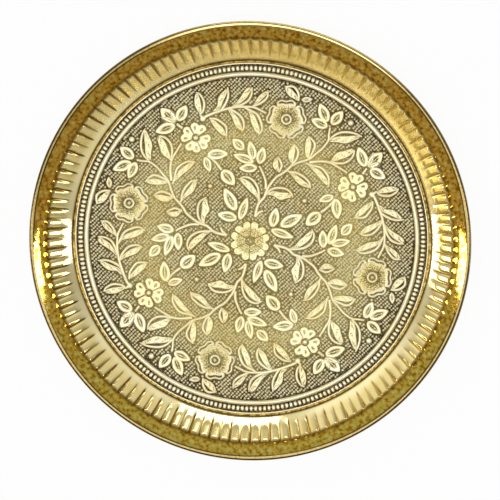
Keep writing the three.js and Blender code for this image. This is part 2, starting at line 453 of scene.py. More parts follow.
def turned_copies(tree, geometry, count):
    """Copies of a geometry turned evenly about the plate's axis."""
    index = add_node(tree, "GeometryNodeInputIndex")
    turn = add_math(tree, "DIVIDE", math.tau, count)
    angle = add_math(tree, "MULTIPLY", index, turn)
    euler = add_node(tree, "ShaderNodeCombineXYZ", {"Z": angle})
    rotation = add_node(tree, "FunctionNodeEulerToRotation", {"Euler": euler})
    spots = add_node(tree, "GeometryNodePoints", {"Count": count})
    copies = add_node(tree, "GeometryNodeInstanceOnPoints", {
        "Points": spots, "Instance": geometry, "Rotation": rotation})
    return add_node(tree, "GeometryNodeRealizeInstances", {"Geometry": copies})


pan_inputs = {
    "Rib Pairs": RIB_PAIRS, "Merge Distance": 0.005 * MM, "Hammer Depth": 0.04 * MM, "Hammer Grain": 2.6 * MM,
    "Hammer Fade": 1.2 * MM, "Flange Inside": shoulder_end.x * MM, "Flange Outside": flange_end.x * MM,
    "Finish": polished_brass}
tree, given = new_shaper("pan_from_ribs", pan_inputs)
ribs = turned_copies(tree, given["Geometry"], given["Rib Pairs"])
sheet = add_node(tree, "GeometryNodeMergeByDistance", {"Geometry": ribs, "Distance": given["Merge Distance"]})
spot = add_node(tree, "GeometryNodeInputPosition")
radius = from_axis(tree, spot)
past = add_math(tree, "SUBTRACT", radius, given["Flange Inside"])
left = add_math(tree, "SUBTRACT", given["Flange Outside"], radius)
nearer = add_math(tree, "MINIMUM", past, left)
share = add_math(tree, "DIVIDE", nearer, given["Hammer Fade"], use_clamp=True)
flat_spot = add_node(tree, "ShaderNodeVectorMath", {0: spot, 1: (1.0, 1.0, 0.0)}, operation="MULTIPLY")
grain = add_math(tree, "DIVIDE", 1.0, given["Hammer Grain"])
blows = add_node(tree, "ShaderNodeTexNoise", {"Vector": flat_spot, "Scale": grain, "Detail": 1.0})
depth = add_math(tree, "ADD", blows, -NOISE_MIDDLE)
depth = add_math(tree, "MULTIPLY", depth, given["Hammer Depth"])
depth = add_math(tree, "MULTIPLY", depth, share)
dent = add_node(tree, "ShaderNodeCombineXYZ", {"Z": depth})
dented = add_node(tree, "GeometryNodeSetPosition", {"Geometry": sheet, "Offset": dent})
end_shaper(tree, dented, given["Finish"])
pan = shape_piece("brass_pan", rib_pair_slice(), tree, pan_inputs)
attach(pan, "root")
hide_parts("pan")

# Rim wire
# Drawn brass wire inside the rolled lip, which makes the thin rim stiff. The sheet's edge is rolled over it,
# and only its turn shows at the lip's edge. Drawn wire: duller brass, finely scuffed.
WIRE_SCUFF = 0.4
WIRE_BRIGHT = 0.28
WIRE_DULL = 0.45
drawn_wire, tree, place = new_material("drawn_brass_wire")
scuff = add_node(tree, "ShaderNodeTexNoise", {"Vector": place, "Scale": 1 / WIRE_SCUFF, "Detail": 3.0})
colour = add_ramp(tree, scuff, ((0.3, "#A98A45"), (0.7, "#CDB068")))
dullness = add_node(tree, "ShaderNodeMapRange", {"Value": scuff, "To Min": WIRE_BRIGHT, "To Max": WIRE_DULL})
end_material(tree, {"Base Color": colour, "Roughness": dullness, "Metallic": 1.0})
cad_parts["rim_wire"].material_slots[0].material = drawn_wire

# Solder ring
# A ring of soft solder between the medallion and the floor of the pan, run in hot. It holds the medallion
# down. Soft solder: dull grey with a slightly frosty skin.
SOLDER_FROST = 0.8
SOLDER_ROUGHNESS = 0.48
soft_solder, tree, place = new_material("soft_solder")
frost = add_node(tree, "ShaderNodeTexNoise", {"Vector": place, "Scale": 1 / SOLDER_FROST, "Detail": 4.0})
colour = add_ramp(tree, frost, ((0.3, "#8C8D8C"), (0.7, "#B4B5B3")))
end_material(tree, {"Base Color": colour, "Roughness": SOLDER_ROUGHNESS, "Metallic": 1.0})
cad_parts["solder_ring"].material_slots[0].material = soft_solder

# Medallion
# Disc of thicker brass stamped with the floral pattern, with a thin raised line round its edge. It was
# darkened with an antique wash, rubbed back by hand so that the relief is pale, and soldered to the pan.
DISC_RADIUS = 112.3
DISC_BOTTOM = 0.85
FIELD_LEVEL = 1.35
DISC_EDGE_WIDTH = 0.8
DISC_EDGE_HEIGHT = 0.32
DISC_EDGE_BEVEL = 0.1
DISC_STEPS = 372

# Antique brass: an olive-brown wash stays in the hollows, and every raised part is rubbed to a pale satin
# gold, so the colour follows the height above the field. Most wash is left by the border and the centre.
WASH_DEPTH = 0.45
WASH_CLOUD = 22
WASH_GRIT = 0.75
WASH_GRIT_DEPTH = 0.03
WASH_GRIT_STRENGTH = 0.6
WASH_UNEVENNESS = 0.16
WASH_TINT = 0.5
WASH_METALLIC = 0.75
WASH_ROUGHNESS = 0.42
RUBBED_STOPS = ((0.0, "#84763E"), (0.15, "#D8CD90"), (0.35, "#ECE1B0"), (0.8, "#F4EABE"), (1.0, "#FAF0C8"))
WASHED_STOPS = ((0.0, "#1C1404"), (0.13, "#88794A"), (0.3, "#F2E8C2"), (0.8, "#F6EDC8"), (1.0, "#FAF2D2"))
WASH_LEFT_STOPS = ((0.0, "#8C8C8C"), (0.22, "#CCCCCC"), (0.4, "#C4C4C4"), (0.58, "#101010"),
                   (0.74, "#CCCCCC"), (0.88, "#FFFFFF"))
antique_brass, tree, place = new_material("antique_brass")
level = add_node(tree, "ShaderNodeSeparateXYZ", {"Vector": place}).outputs["Z"]
cloud = add_node(tree, "ShaderNodeTexNoise", {"Vector": place, "Scale": 1 / WASH_CLOUD, "Detail": 3.0})
grit = add_node(tree, "ShaderNodeTexNoise", {"Vector": place, "Scale": 1 / WASH_GRIT, "Detail": 2.0})
unevenness = add_node(tree, "ShaderNodeMapRange", {
    "Value": grit, "From Min": NOISE_LOW, "From Max": NOISE_HIGH,
    "To Min": -WASH_UNEVENNESS, "To Max": WASH_UNEVENNESS})
height = zone_share(tree, (level, FIELD_LEVEL, FIELD_LEVEL + WASH_DEPTH))
rub = add_math(tree, "ADD", height, unevenness, use_clamp=True)
rubbed = add_ramp(tree, rub, RUBBED_STOPS)
washed = add_ramp(tree, rub, WASHED_STOPS)
outward_share = zone_share(tree, (from_axis(tree, place), 0, DISC_RADIUS))
wash_left = add_ramp(tree, outward_share, WASH_LEFT_STOPS)
colour = add_node(tree, "ShaderNodeMix", {
    "Factor": wash_left, UNDER: rubbed, OVER: washed}, data_type="RGBA")
tint = add_ramp(tree, cloud, ((0.35, "#F8E8BC"), (0.65, "#FFFFFF")))
colour = add_node(tree, "ShaderNodeMix", {
    "Factor": WASH_TINT, UNDER: colour, OVER: tint}, data_type="RGBA", blend_type="MULTIPLY")
bumps = add_node(tree, "ShaderNodeBump", {
    "Strength": WASH_GRIT_STRENGTH, "Distance": WASH_GRIT_DEPTH * MM, "Height": grit})
end_material(tree, {
    "Base Color": colour, "Roughness": WASH_ROUGHNESS, "Normal": bumps, "Metallic": WASH_METALLIC})


def turned_ring(radius, height, count):
    """Points evenly round the plate's axis."""
    return [turned(radius, math.tau * step / count, height) for step in range(count)]


def stack_rings(rings, first=0):
    """The points and faces of a closed solid from its rings, bottom up. An end may be a single point."""
    points = []
    faces = []
    starts = []
    for ring in rings:
        starts.append(first + len(points))
        points += ring
    for low, high, start, next_start in zip(rings, rings[1:], starts, starts[1:]):
        count = max(len(low), len(high))
        for side in range(count):
            there = (side + 1) % count
            face = [start + side % len(low), start + there % len(low)]
            face += [next_start + there % len(high), next_start + side % len(high)]
            faces.append(tuple(dict.fromkeys(face)))
    if len(rings[0]) > 1:
        faces.append(tuple(reversed(range(first, first + len(rings[0])))))
    if len(rings[-1]) > 1:
        faces.append(tuple(range(starts[-1], starts[-1] + len(rings[-1]))))
    return points, faces


edge_inside = DISC_RADIUS - DISC_EDGE_WIDTH
edge_top = FIELD_LEVEL + DISC_EDGE_HEIGHT
disc_profile = [
    (DISC_RADIUS, DISC_BOTTOM), (DISC_RADIUS, edge_top - DISC_EDGE_BEVEL),
    (DISC_RADIUS - DISC_EDGE_WIDTH / 4, edge_top), (edge_inside + DISC_EDGE_WIDTH / 4, edge_top),
    (edge_inside, FIELD_LEVEL)]
disc_rings = [turned_ring(radius, height, DISC_STEPS) for radius, height in disc_profile]
disc_points, disc_faces = stack_rings([[(0, 0, DISC_BOTTOM)], *disc_rings, [(0, 0, FIELD_LEVEL)]])
disc = new_piece("medallion_disc", new_mesh("medallion_disc", disc_points, disc_faces))
disc.data.materials.append(antique_brass)
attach(disc, "root")
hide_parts("medallion")

# Floral relief
# Stems, leaves and flowers that the die raised out of the disc's brass. One quarter of the pattern is drawn,
# and comes four times round the central flower. Its points are in hundredths of the plain border's radius.
PATTERN_UNIT = 1.052
PATTERN_CENTRE = (-0.53, -0.68)
QUARTERS = 4
SINK = 0.08
RIDGE_HALF_WIDTH = 0.95
RIDGE_HEIGHT = 0.38
RIDGE_SIDES = 6
LINE_STEPS = 16
SMOOTH_STEPS = 12

STEMS = {
    "main": [(2.8, 14.4), (3.8, 19), (5.2, 22.7), (8.2, 26), (9.5, 29.7), (11.5, 33.4), (15.5, 38.4),
        (18.8, 40.4), (22.2, 43), (25, 45.7), (30, 47.9), (35.5, 49.7), (39.5, 53), (43.5, 56.4),
        (46.8, 61), (47.2, 65), (47.8, 68.7)],
    "barb": [(2.8, 14.4), (5, 16.8), (7.5, 18)],
    "side_branch": [(9.2, 31.2), (9.2, 35.6), (8.2, 39), (6.2, 43.6), (5.2, 45)],
    "to_open_flower": [(35.5, 47.7), (42.2, 48.4), (47.8, 47.7), (52.8, 45), (58.2, 41.7)],
    "bud": [(42.5, 17.4), (47.5, 21.5), (51, 26)],
    "rim_vine": [(73.2, 28.7), (74.8, 26.7), (76.8, 22), (78.2, 18), (79.5, 14), (80.5, 8.7), (80.8, 3.4),
        (80.5, -2), (78.8, -6), (77, -9.5)],
    "cluster": [(67.5, 41), (70, 44.5)],
    "rim_leaf": [(73.2, 28.7), (76, 30.5)],
}
# Leaves seen flat: base, tip and half width.
FLAT_LEAVES = {
    "trefoil_left": ((13, 7.7), (15.8, 20.4), 2.9),
    "trefoil_middle": ((17.5, 8.7), (31.8, 16), 3.3),
    "trefoil_right": ((11.8, 6.7), (26.5, 1.7), 2.5),
    "fan_first": ((4.5, 44), (-7.3, 43.6), 2.6),
    "fan_second": ((2.5, 47.3), (-10.8, 52), 2.6),
    "fan_third": ((-3.8, 54.8), (-11, 61.5), 2.9),
    "fan_fourth": ((2, 48.5), (-0.5, 60.7), 2.5),
    "fan_last": ((5.2, 46), (8, 57), 2.8),
    "end_left": ((46.8, 69), (36.2, 74), 2.8),
    "end_middle": ((46.5, 71.7), (41.5, 83.7), 3.0),
    "end_right": ((48.5, 70.4), (55.8, 79), 3.0),
    "bud": ((42.5, 17.4), (33.2, 9.4), 3.6),
    "bud_left": ((50.5, 27.4), (40.8, 24.4), 2.3),
    "bud_right": ((51.5, 26.4), (52.5, 13), 3.0),
    "rose_right": ((30.5, 85.2), (37.6, 85.8), 1.6),
    "cluster_left": ((69.2, 45), (64.8, 57.7), 3.1),
    "cluster_first": ((70.5, 45), (74.2, 54.6), 1.5),
    "cluster_second": ((70.5, 45), (79.5, 54.4), 3.5),
    "cluster_third": ((71, 44.8), (78.8, 48.4), 1.5),
    "cluster_right": ((71.5, 44), (81.5, 38.4), 3.1),
}
# Leaves seen half turned: the thin edge on one side from base to tip, then what lies between those two on the
# other side, along the broad half.
TURNED_LEAVES = {
    "left_of_stem": ([(5, 23), (5.2, 25.7), (4.5, 31.7), (2.2, 35.7), (-0.5, 37.7), (-3.8, 38.4), (-7.2, 37)],
        [(3, 26.5), (-0.5, 29.4), (-3.8, 33), (-6.5, 36)]),
    "right_first": ([(9.8, 27.7), (10.8, 29.7), (13.5, 31.4), (16.8, 32), (20.2, 31.7), (22.8, 30.7),
        (24.8, 28.4), (25.8, 26.4)],
        [(13.8, 27), (16.2, 25.3), (18.5, 24.2), (21.2, 25.3)]),
    "right_second": ([(22.2, 42.4), (24.2, 41.7), (27.5, 41.4), (31.5, 39.4), (34.2, 37), (35.5, 35.4),
        (36.2, 31.7)],
        [(25.8, 38.4), (28.2, 35), (30.8, 33.4)]),
    "right_third": ([(33.5, 47.2), (36.5, 46), (42.2, 44.7), (45.2, 42), (47.2, 38), (47, 33)],
        [(39.5, 40.4), (42.8, 36.4)]),
    "up_first": ([(17.2, 41.4), (18.8, 45.4), (17.8, 48.7), (16.5, 51)],
        [(14.2, 43.5), (13.2, 46), (14.2, 49)]),
    "up_second": ([(24.8, 46.7), (27.2, 48.7), (28.8, 52.7), (28.5, 55.4), (26.2, 58.7)],
        [(22.8, 49.7), (22.5, 52.7), (23.8, 56)]),
    "up_third": ([(34.5, 49.4), (36.2, 51.4), (38.8, 57.4), (37.8, 60.7), (34.5, 63.7)],
        [(33, 52.5), (32.6, 56), (33, 60)]),
    "end_upper": ([(47.5, 61.4), (50.8, 64.4), (54.8, 66), (60.2, 66), (64.8, 64.7), (67.2, 63.4)],
        [(48.2, 60), (52.8, 59.7), (57.5, 59), (62.2, 61)]),
    "end_lower": ([(48, 48.5), (51.5, 47.4), (56.8, 47.7), (60.8, 50.4), (62.5, 54.4), (62.2, 55.7)],
        [(48.8, 49.7), (51.5, 53.7), (55.5, 55), (60.8, 56.4)]),
    "rim_top": ([(76, 30.5), (78, 28.5), (83.5, 28), (88, 30.5), (89, 32.8)],
        [(80.5, 33.4), (85.5, 34)]),
    "rim_first": ([(77, 22.5), (77.8, 18.7), (81.8, 15.4), (87.2, 13.4), (92.5, 13.7)],
        [(79, 22), (81.3, 20), (87, 19.3)]),
    "rim_second": ([(79.8, 12.7), (81.8, 6), (84.5, 1.4), (88.5, -0.6), (92.5, -1)],
        [(82.5, 9.5), (85.8, 6.7), (89.5, 4.5), (92.5, 2)]),
    "rim_third": ([(81.2, -1.3), (83, -6), (86.5, -10), (91, -10.5)],
        [(85, -3.4), (88.5, -6)]),
    "inner_first": ([(73.5, 24.7), (73.2, 20.7), (71.2, 17.4), (68.5, 14.7), (62.2, 14.4)],
        [(69.2, 22.7), (64.5, 18.7)]),
    "inner_second": ([(79.5, 14), (78.5, 10.7), (75.8, 6.7), (72.5, 4.4), (68, 4), (65.5, 5.4)],
        [(74.5, 11.4), (69.2, 9.4), (66.2, 6)]),
    "inner_third": ([(80.2, 3.4), (76.8, -3.4), (72.5, -6), (67.2, -7), (63.5, -4.6)],
        [(76.5, 0.7), (71.8, 0), (67.2, -2)]),
    "by_the_rose": ([(28.8, 84.7), (29, 88), (28, 91), (25.5, 93.3), (20.5, 93)],
        [(25, 86.3), (22.5, 88), (21.2, 90.5)]),
}
DOTS = {
    "by_the_cluster": ((60.3, 71.7), 1.9),
    "by_the_bud": ((32.6, 24.4), 1.5),
    "vine_node": ((73.2, 28.7), 2.0),
    "rose_eye": ((21.6, 73.5), 1.0),
    "open_flower_eye": ((61.7, 33.0), 1.6),
}


class Relief:
    """The parts of a relief as they are drawn: raised patches, and lines that become ridges."""

    def __init__(self):
        self.points = []
        self.faces = []
        self.line_points = []
        self.line_edges = []
        self.girths = []

    def patch(self, rows):
        """A raised patch from rows of places, each with its height, whose border runs into the field."""
        first = len(self.points)
        width = len(rows[0])
        last = len(rows) - 1
        for u, row in enumerate(rows):
            for v, (spot, height) in enumerate(row):
                inside = 0 < u < last and 0 < v < width - 1
                self.points.append(on_field(spot, height if inside else -SINK))
        self.faces += row_faces(len(rows), width, first)
        numbers = [range(first + u * width, first + u * width + width) for u in range(len(rows))]
        border = [*numbers[0], *(row[-1] for row in numbers[1:])]
        border += [*numbers[-1][-2::-1], *(row[0] for row in numbers[-2:0:-1])]
        self.faces.append(tuple(border))

    def ridge(self, line, girths, closed=False):
        """A line that becomes a half-round ridge, with its girth at each point as a share of the full one."""
        first = len(self.line_points)
        self.line_points += [on_field(spot, -SINK) for spot in line]
        self.girths += girths
        last = len(self.line_points) - 1
        self.line_edges += [(place, place + 1) for place in range(first, last)]
        if closed:
            self.line_edges.append((last, first))


def on_field(spot, height):
    """A place of the pattern as a point at a height above the field."""
    return (spot.x * PATTERN_UNIT, spot.y * PATTERN_UNIT, FIELD_LEVEL + height)


def polar(centre, radius, degrees):
    """A place by its distance and direction from a centre."""
    return centre + radius * heading(math.radians(degrees))


def smooth_line(points, steps):
    """A smooth line through given points, as evenly spaced points."""
    spots = [Vector(point) for point in points]
    ends = [2 * spots[0] - spots[1], *spots, 2 * spots[-1] - spots[-2]]
    fine = []
    for before, start, end, after in zip(ends, ends[1:], ends[2:], ends[3:]):
        for step in range(SMOOTH_STEPS):
            t = step / SMOOTH_STEPS
            fine.append(0.5 * (2 * start + (end - before) * t
                               + (2 * before - 5 * start + 4 * end - after) * t * t
                               + (3 * start - before - 3 * end + after) * t ** 3))
    fine.append(spots[-1])
    travelled = [0]
    for start, end in zip(fine, fine[1:]):
        travelled.append(travelled[-1] + (end - start).length)
    line = []
    place = 0
    for step in range(steps + 1):
        wanted = travelled[-1] * step / steps
        while place < len(fine) - 2 and travelled[place + 1] < wanted:
            place += 1
        part = (wanted - travelled[place]) / (travelled[place + 1] - travelled[place])
        line.append(fine[place].lerp(fine[place + 1], part))
    return line


# A stem is a ridge that thins towards its end.
STEM_GIRTH = 1.15
STEM_THINNING = 0.3
STEM_STEPS = 4
quarter = Relief()
for points in STEMS.values():
    line = smooth_line(points, STEM_STEPS * len(points))
    last = len(line) - 1
    quarter.ridge(line, [STEM_GIRTH - STEM_THINNING * step / last for step in range(last + 1)])

# A flat leaf has a broad raised rim, a hollow inside it, and a faint vein down the middle. Its columns are
# shares of its half width.
LEAF_HEIGHT = 0.36
LEAF_RIM = 0.6
LEAF_SPREAD = 1.2
LEAF_BEVEL = 0.45
LEAF_HOLLOW = 0.05
LEAF_VEIN = 0.1
LEAF_LEAN = 0.85
LEAF_FULLNESS = 0.8
LEAF_POINT = 0.03
LEAF_SIDE = (0.88, 0.74, 0.6, 0.48, 0.36, 0.24, 0.12)
LEAF_COLUMNS = (1, *LEAF_SIDE, 0, *(-share for share in reversed(LEAF_SIDE)), -1)
for base, tip, half_width in FLAT_LEAVES.values():
    run = Vector(tip) - Vector(base)
    out = Vector((-run.y, run.x)).normalized()
    rows = []
    for step in range(LINE_STEPS + 1):
        along = step / LINE_STEPS
        bulge = math.sin(math.pi * along ** LEAF_LEAN) ** LEAF_FULLNESS if 0 < along < 1 else LEAF_POINT
        half = LEAF_SPREAD * half_width * bulge
        row = []
        for share in LEAF_COLUMNS:
            from_edge = PATTERN_UNIT * half * (1 - abs(share))
            down = clamp((from_edge - LEAF_RIM * LEAF_SPREAD * half_width) / LEAF_BEVEL)
            vein = LEAF_VEIN * clamp(1 - PATTERN_UNIT * half * abs(share) / LEAF_BEVEL) * down
            height = LEAF_HEIGHT * (clamp(from_edge / LEAF_BEVEL) - (1 - LEAF_HOLLOW) * down) + vein
            row.append((Vector(base) + run * along + out * half * share, height))
        rows.append(row)
    quarter.patch(rows)

# A half turned leaf has a thin edge ridge, a dark gap, and a dished and veined body that meets it at both
# ends. The dish is given by shares across the body, with the share of its height at each.
BODY_HEIGHT = 0.42
BODY_VEIN = 0.75
BODY_VEIN_STEPS = 4
BODY_GAP = 0.08
BODY_GAP_SWELL = 0.22
BODY_GAP_ROUNDING = 0.7
BODY_ROUNDING = 0.5
EDGE_ROUNDING = 0.6
EDGE_BASE = 0.75
EDGE_TIP = 0.5
DISH = ((0, 0), (0.1, 1), (0.28, 0.45), (0.5, 0.3), (0.72, 0.45), (0.9, 1), (1, 0))
for edge_points, body_points in TURNED_LEAVES.values():
    edge = smooth_line(edge_points, LINE_STEPS)
    outside = smooth_line([edge_points[0], *body_points, edge_points[-1]], LINE_STEPS)
    girths = []
    rows = []
    for step, (start, end) in enumerate(zip(edge, outside)):
        along = step / LINE_STEPS
        swell = math.sin(math.pi * along)
        girth = swell ** EDGE_ROUNDING
        girths.append(girth + (1 - girth) * (EDGE_BASE * (1 - along) + EDGE_TIP * along))
        inside = start.lerp(end, BODY_GAP + BODY_GAP_SWELL * swell ** BODY_GAP_ROUNDING)
        fullness = BODY_HEIGHT * swell ** BODY_ROUNDING
        row = []
        for share, part in DISH:
            vein = BODY_VEIN * math.cos(math.tau * (step / BODY_VEIN_STEPS + share)) if 0 < part < 1 else 0
            row.append((inside.lerp(end, share), fullness * part * (1 + vein)))
        rows.append(row)
    quarter.ridge(edge, girths)
    quarter.patch(rows)

# A dot is a round boss, given by shares of its radius with the height at each.
DOT_SIDES = 12
DOT_RINGS = ((1, -SINK), (0.85, 0.5 * BODY_HEIGHT), (0.5, 0.9 * BODY_HEIGHT), (0.05, BODY_HEIGHT))
for centre, radius in DOTS.values():
    rings = []
    for share, height in DOT_RINGS:
        turns = [360 * side / DOT_SIDES for side in range(DOT_SIDES)]
        rings.append([on_field(polar(Vector(centre), share * radius, turn), height) for turn in turns])
    dot_points, dot_faces = stack_rings(rings, len(quarter.points))
    quarter.points += dot_points
    quarter.faces += dot_faces

# A rose petal has a rolled outer edge, with a dark slit behind the roll, and it sinks towards the eye.
# Its rows lie behind the edge, and each sink has a start behind the edge, a length and a depth.
PETAL_HEIGHT = 0.44
ROSE_CENTRE = Vector((21.6, 73.5))
ROSE_PETAL_ANGLES = (90, 18, -54, 234, 162)
ROSE_RING = 2.7
ROSE_RING_GIRTH = 0.8
ROSE_RING_SIDES = 24
ROSE_INSIDE = 2.2
ROSE_OUTSIDE = 11.8
ROSE_BOW = 1.6
ROSE_WAVE = 0.4
ROSE_HALF_INSIDE = 2.8
ROSE_HALF_OUTSIDE = 6.3
ROSE_ROLL = 1.75
ROSE_SLIT = 0.55
ROSE_SLIT_SHARE = 0.74
ROSE_SLIT_LEVEL = -0.05
ROSE_COLUMNS = 18
ROSE_DEPTH = ROSE_OUTSIDE - ROSE_INSIDE
ROSE_ROWS = (0, 0.2, 0.7, 1.1, 1.25, 1.75, 2.25, 2.4, 2.9, 3.5, 4.2, 5.2, 6.4, 7.8, ROSE_DEPTH)
ROSE_SINKS = ((1.2, 1.1, 0.12), (2.5, 1.2, 0.71), (4.2, 4, 0.14))
ROSE_FOLD_START = 3
ROSE_FOLD = 0.03
ROSE_FOLDS = 5
ring_turns = [360 * side / ROSE_RING_SIDES for side in range(ROSE_RING_SIDES)]
ring_line = [polar(ROSE_CENTRE, ROSE_RING, turn) for turn in ring_turns]
quarter.ridge(ring_line, [ROSE_RING_GIRTH] * ROSE_RING_SIDES, closed=True)
for facing in ROSE_PETAL_ANGLES:
    forward = heading(math.radians(facing))
    sideways = Vector((-forward.y, forward.x))
    rows = []
    for column in range(ROSE_COLUMNS + 1):
        aside = 2 * column / ROSE_COLUMNS - 1
        far = ROSE_OUTSIDE - ROSE_BOW * abs(aside) ** 3 - ROSE_WAVE * math.cos(math.tau * aside)
        row = []
        for back in ROSE_ROWS:
            share = back / ROSE_DEPTH
            reach = far - (far - ROSE_INSIDE) * share
            half = ROSE_HALF_INSIDE + (ROSE_HALF_OUTSIDE - ROSE_HALF_INSIDE) * math.cos(share * math.pi / 2)
            height = 1 - sum(depth * clamp((back - start) / length) for start, length, depth in ROSE_SINKS)
            if back > ROSE_FOLD_START:
                height += ROSE_FOLD * math.cos(ROSE_FOLDS * math.pi * aside)
            if abs(back - ROSE_ROLL) < ROSE_SLIT and abs(aside) < ROSE_SLIT_SHARE:
                height = ROSE_SLIT_LEVEL
            row.append((ROSE_CENTRE + forward * reach + sideways * aside * half, PETAL_HEIGHT * height))
        rows.append(row)
    quarter.patch(rows)

# The other flowers have two-lobed petals, with a dark slot or a shallow dimple in each lobe. A petal's lift
# is a share of its height, and the outer lift is added over a length from its start.
PETAL_COLUMNS = 22
PETAL_RINGS = 12
PETAL_EDGE = 0.35
OUTER_LIFT_START = 7.5
OUTER_LIFT_LENGTH = 2
OPEN_FLOWER = {
    "centre": Vector((61.7, 33.0)), "angles": (72, 345, 247, 164), "inside": 2.0, "lobe_reach": 6.9,
    "lobe_radius": 2.75, "lobe_angle": 20, "slot_start": 4.6, "slot_end": 7.2, "slot_half_width": 0.6,
    "slot_depth": 0.8, "lift": 0.52, "outer_lift": 0}
CENTRAL_FLOWER = {
    "centre": Vector((-0.3, -0.5)), "angles": (57, 117, 178, 237, 297, 356), "inside": 2.2,
    "lobe_reach": 10.1, "lobe_radius": 2.5, "lobe_angle": 17, "slot_start": 9.4, "slot_end": 11.2,
    "slot_half_width": 0.7, "slot_depth": 0.25, "lift": 0.11, "outer_lift": 0.22}


def add_lobed_petals(relief, centre, angles, inside, lobe_reach, lobe_radius, lobe_angle, slot_start,
                     slot_end, slot_half_width, slot_depth, lift, outer_lift):
    """The petals of a flower, one to face each of its angles."""
    spread = lobe_angle + math.degrees(math.asin(lobe_radius / lobe_reach))
    for facing in angles:
        rows = []
        for column in range(PETAL_COLUMNS + 1):
            turn = -spread + 2 * spread * column / PETAL_COLUMNS
            off = math.radians(abs(turn) - lobe_angle)
            side = lobe_reach * math.sin(off)
            far = lobe_reach * math.cos(off) + math.sqrt(max(0, lobe_radius ** 2 - side ** 2))
            row = []
            for ring in range(PETAL_RINGS + 1):
                reach = inside + (far - inside) * ring / PETAL_RINGS
                from_edge = min(far - reach, reach - inside, math.radians(spread - abs(turn)) * reach)
                height = min(1, PETAL_EDGE + from_edge)
                if slot_start < reach < slot_end and abs(off) * reach < slot_half_width:
                    height -= slot_depth
                height *= lift + outer_lift * clamp((reach - OUTER_LIFT_START) / OUTER_LIFT_LENGTH)
                row.append((polar(centre, reach, facing + turn), PETAL_HEIGHT * height))
            rows.append(row)
        relief.patch(rows)


centre_relief = Relief()
add_lobed_petals(quarter, **OPEN_FLOWER)
add_lobed_petals(centre_relief, **CENTRAL_FLOWER)


def outward_mesh(name, points, faces):
    """A mesh of closed shells whose faces all point outwards."""
    mesh = new_mesh(name, points, faces)
    shell = bmesh.new()
    shell.from_mesh(mesh)
    bmesh.ops.recalc_face_normals(shell, faces=shell.faces)
    shell.to_mesh(mesh)
    shell.free()
    return mesh


def half_round_section(tree, sides, half_width, height):
    """A closed half-round section that stands on its flat side."""
    arc = add_node(tree, "GeometryNodeCurveArc", {
        "Resolution": sides, "Radius": 1.0, "Start Angle": math.pi, "Sweep Angle": math.pi}, mode="RADIUS")
    closed = add_node(tree, "GeometryNodeSetSplineCyclic", {"Geometry": arc, "Cyclic": True})
    size = add_node(tree, "ShaderNodeCombineXYZ", {"X": half_width, "Y": height, "Z": 1.0})
    return add_node(tree, "GeometryNodeTransform", {"Geometry": closed, "Scale": size})


ridge_lines = new_piece("ridge_lines", new_mesh(
    "ridge_lines", quarter.line_points, [], quarter.line_edges, girth=quarter.girths))
central_flower = new_piece("central_flower", outward_mesh(
    "central_flower", centre_relief.points, centre_relief.faces))
relief_inputs = {
    "Ridge Lines": ridge_lines, "Ridge Half Width": RIDGE_HALF_WIDTH * MM,
    "Ridge Height": (RIDGE_HEIGHT + SINK) * MM, "Ridge Sides": RIDGE_SIDES, "Quarters": QUARTERS,
    "Central Flower": central_flower, "Pattern Centre": MM * Vector((*PATTERN_CENTRE, 0)),
    "Finish": antique_brass}
tree, given = new_shaper("relief_from_quarter", relief_inputs)
lines = add_node(tree, "GeometryNodeObjectInfo", {"Object": given["Ridge Lines"]}).outputs["Geometry"]
curves = add_node(tree, "GeometryNodeMeshToCurve", {"Mesh": lines})
upright = add_node(tree, "GeometryNodeSetCurveNormal", {"Curve": curves}, mode="Z_UP")
section = half_round_section(tree, given["Ridge Sides"], given["Ridge Half Width"], given["Ridge Height"])
girth = add_node(tree, "GeometryNodeInputNamedAttribute", {"Name": "girth"}, data_type="FLOAT")
ridges = add_node(tree, "GeometryNodeCurveToMesh", {
    "Curve": upright, "Profile Curve": section, "Scale": girth, "Fill Caps": True})
one_quarter = add_node(tree, "GeometryNodeJoinGeometry", {"Geometry": [ridges, given["Geometry"]]})
whole = turned_copies(tree, one_quarter, given["Quarters"])
flower = add_node(tree, "GeometryNodeObjectInfo", {"Object": given["Central Flower"]}).outputs["Geometry"]
joined = add_node(tree, "GeometryNodeJoinGeometry", {"Geometry": [whole, flower]})
placed = add_node(tree, "GeometryNodeTransform", {"Geometry": joined, "Translation": given["Pattern Centre"]})
end_shaper(tree, placed, given["Finish"])
quarter_mesh = outward_mesh("floral_relief", quarter.points, quarter.faces)
relief = shape_piece("floral_relief", quarter_mesh, tree, relief_inputs)
bpy.data.objects.remove(ridge_lines)
bpy.data.objects.remove(central_flower)
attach(relief, "root")
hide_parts("medallion")

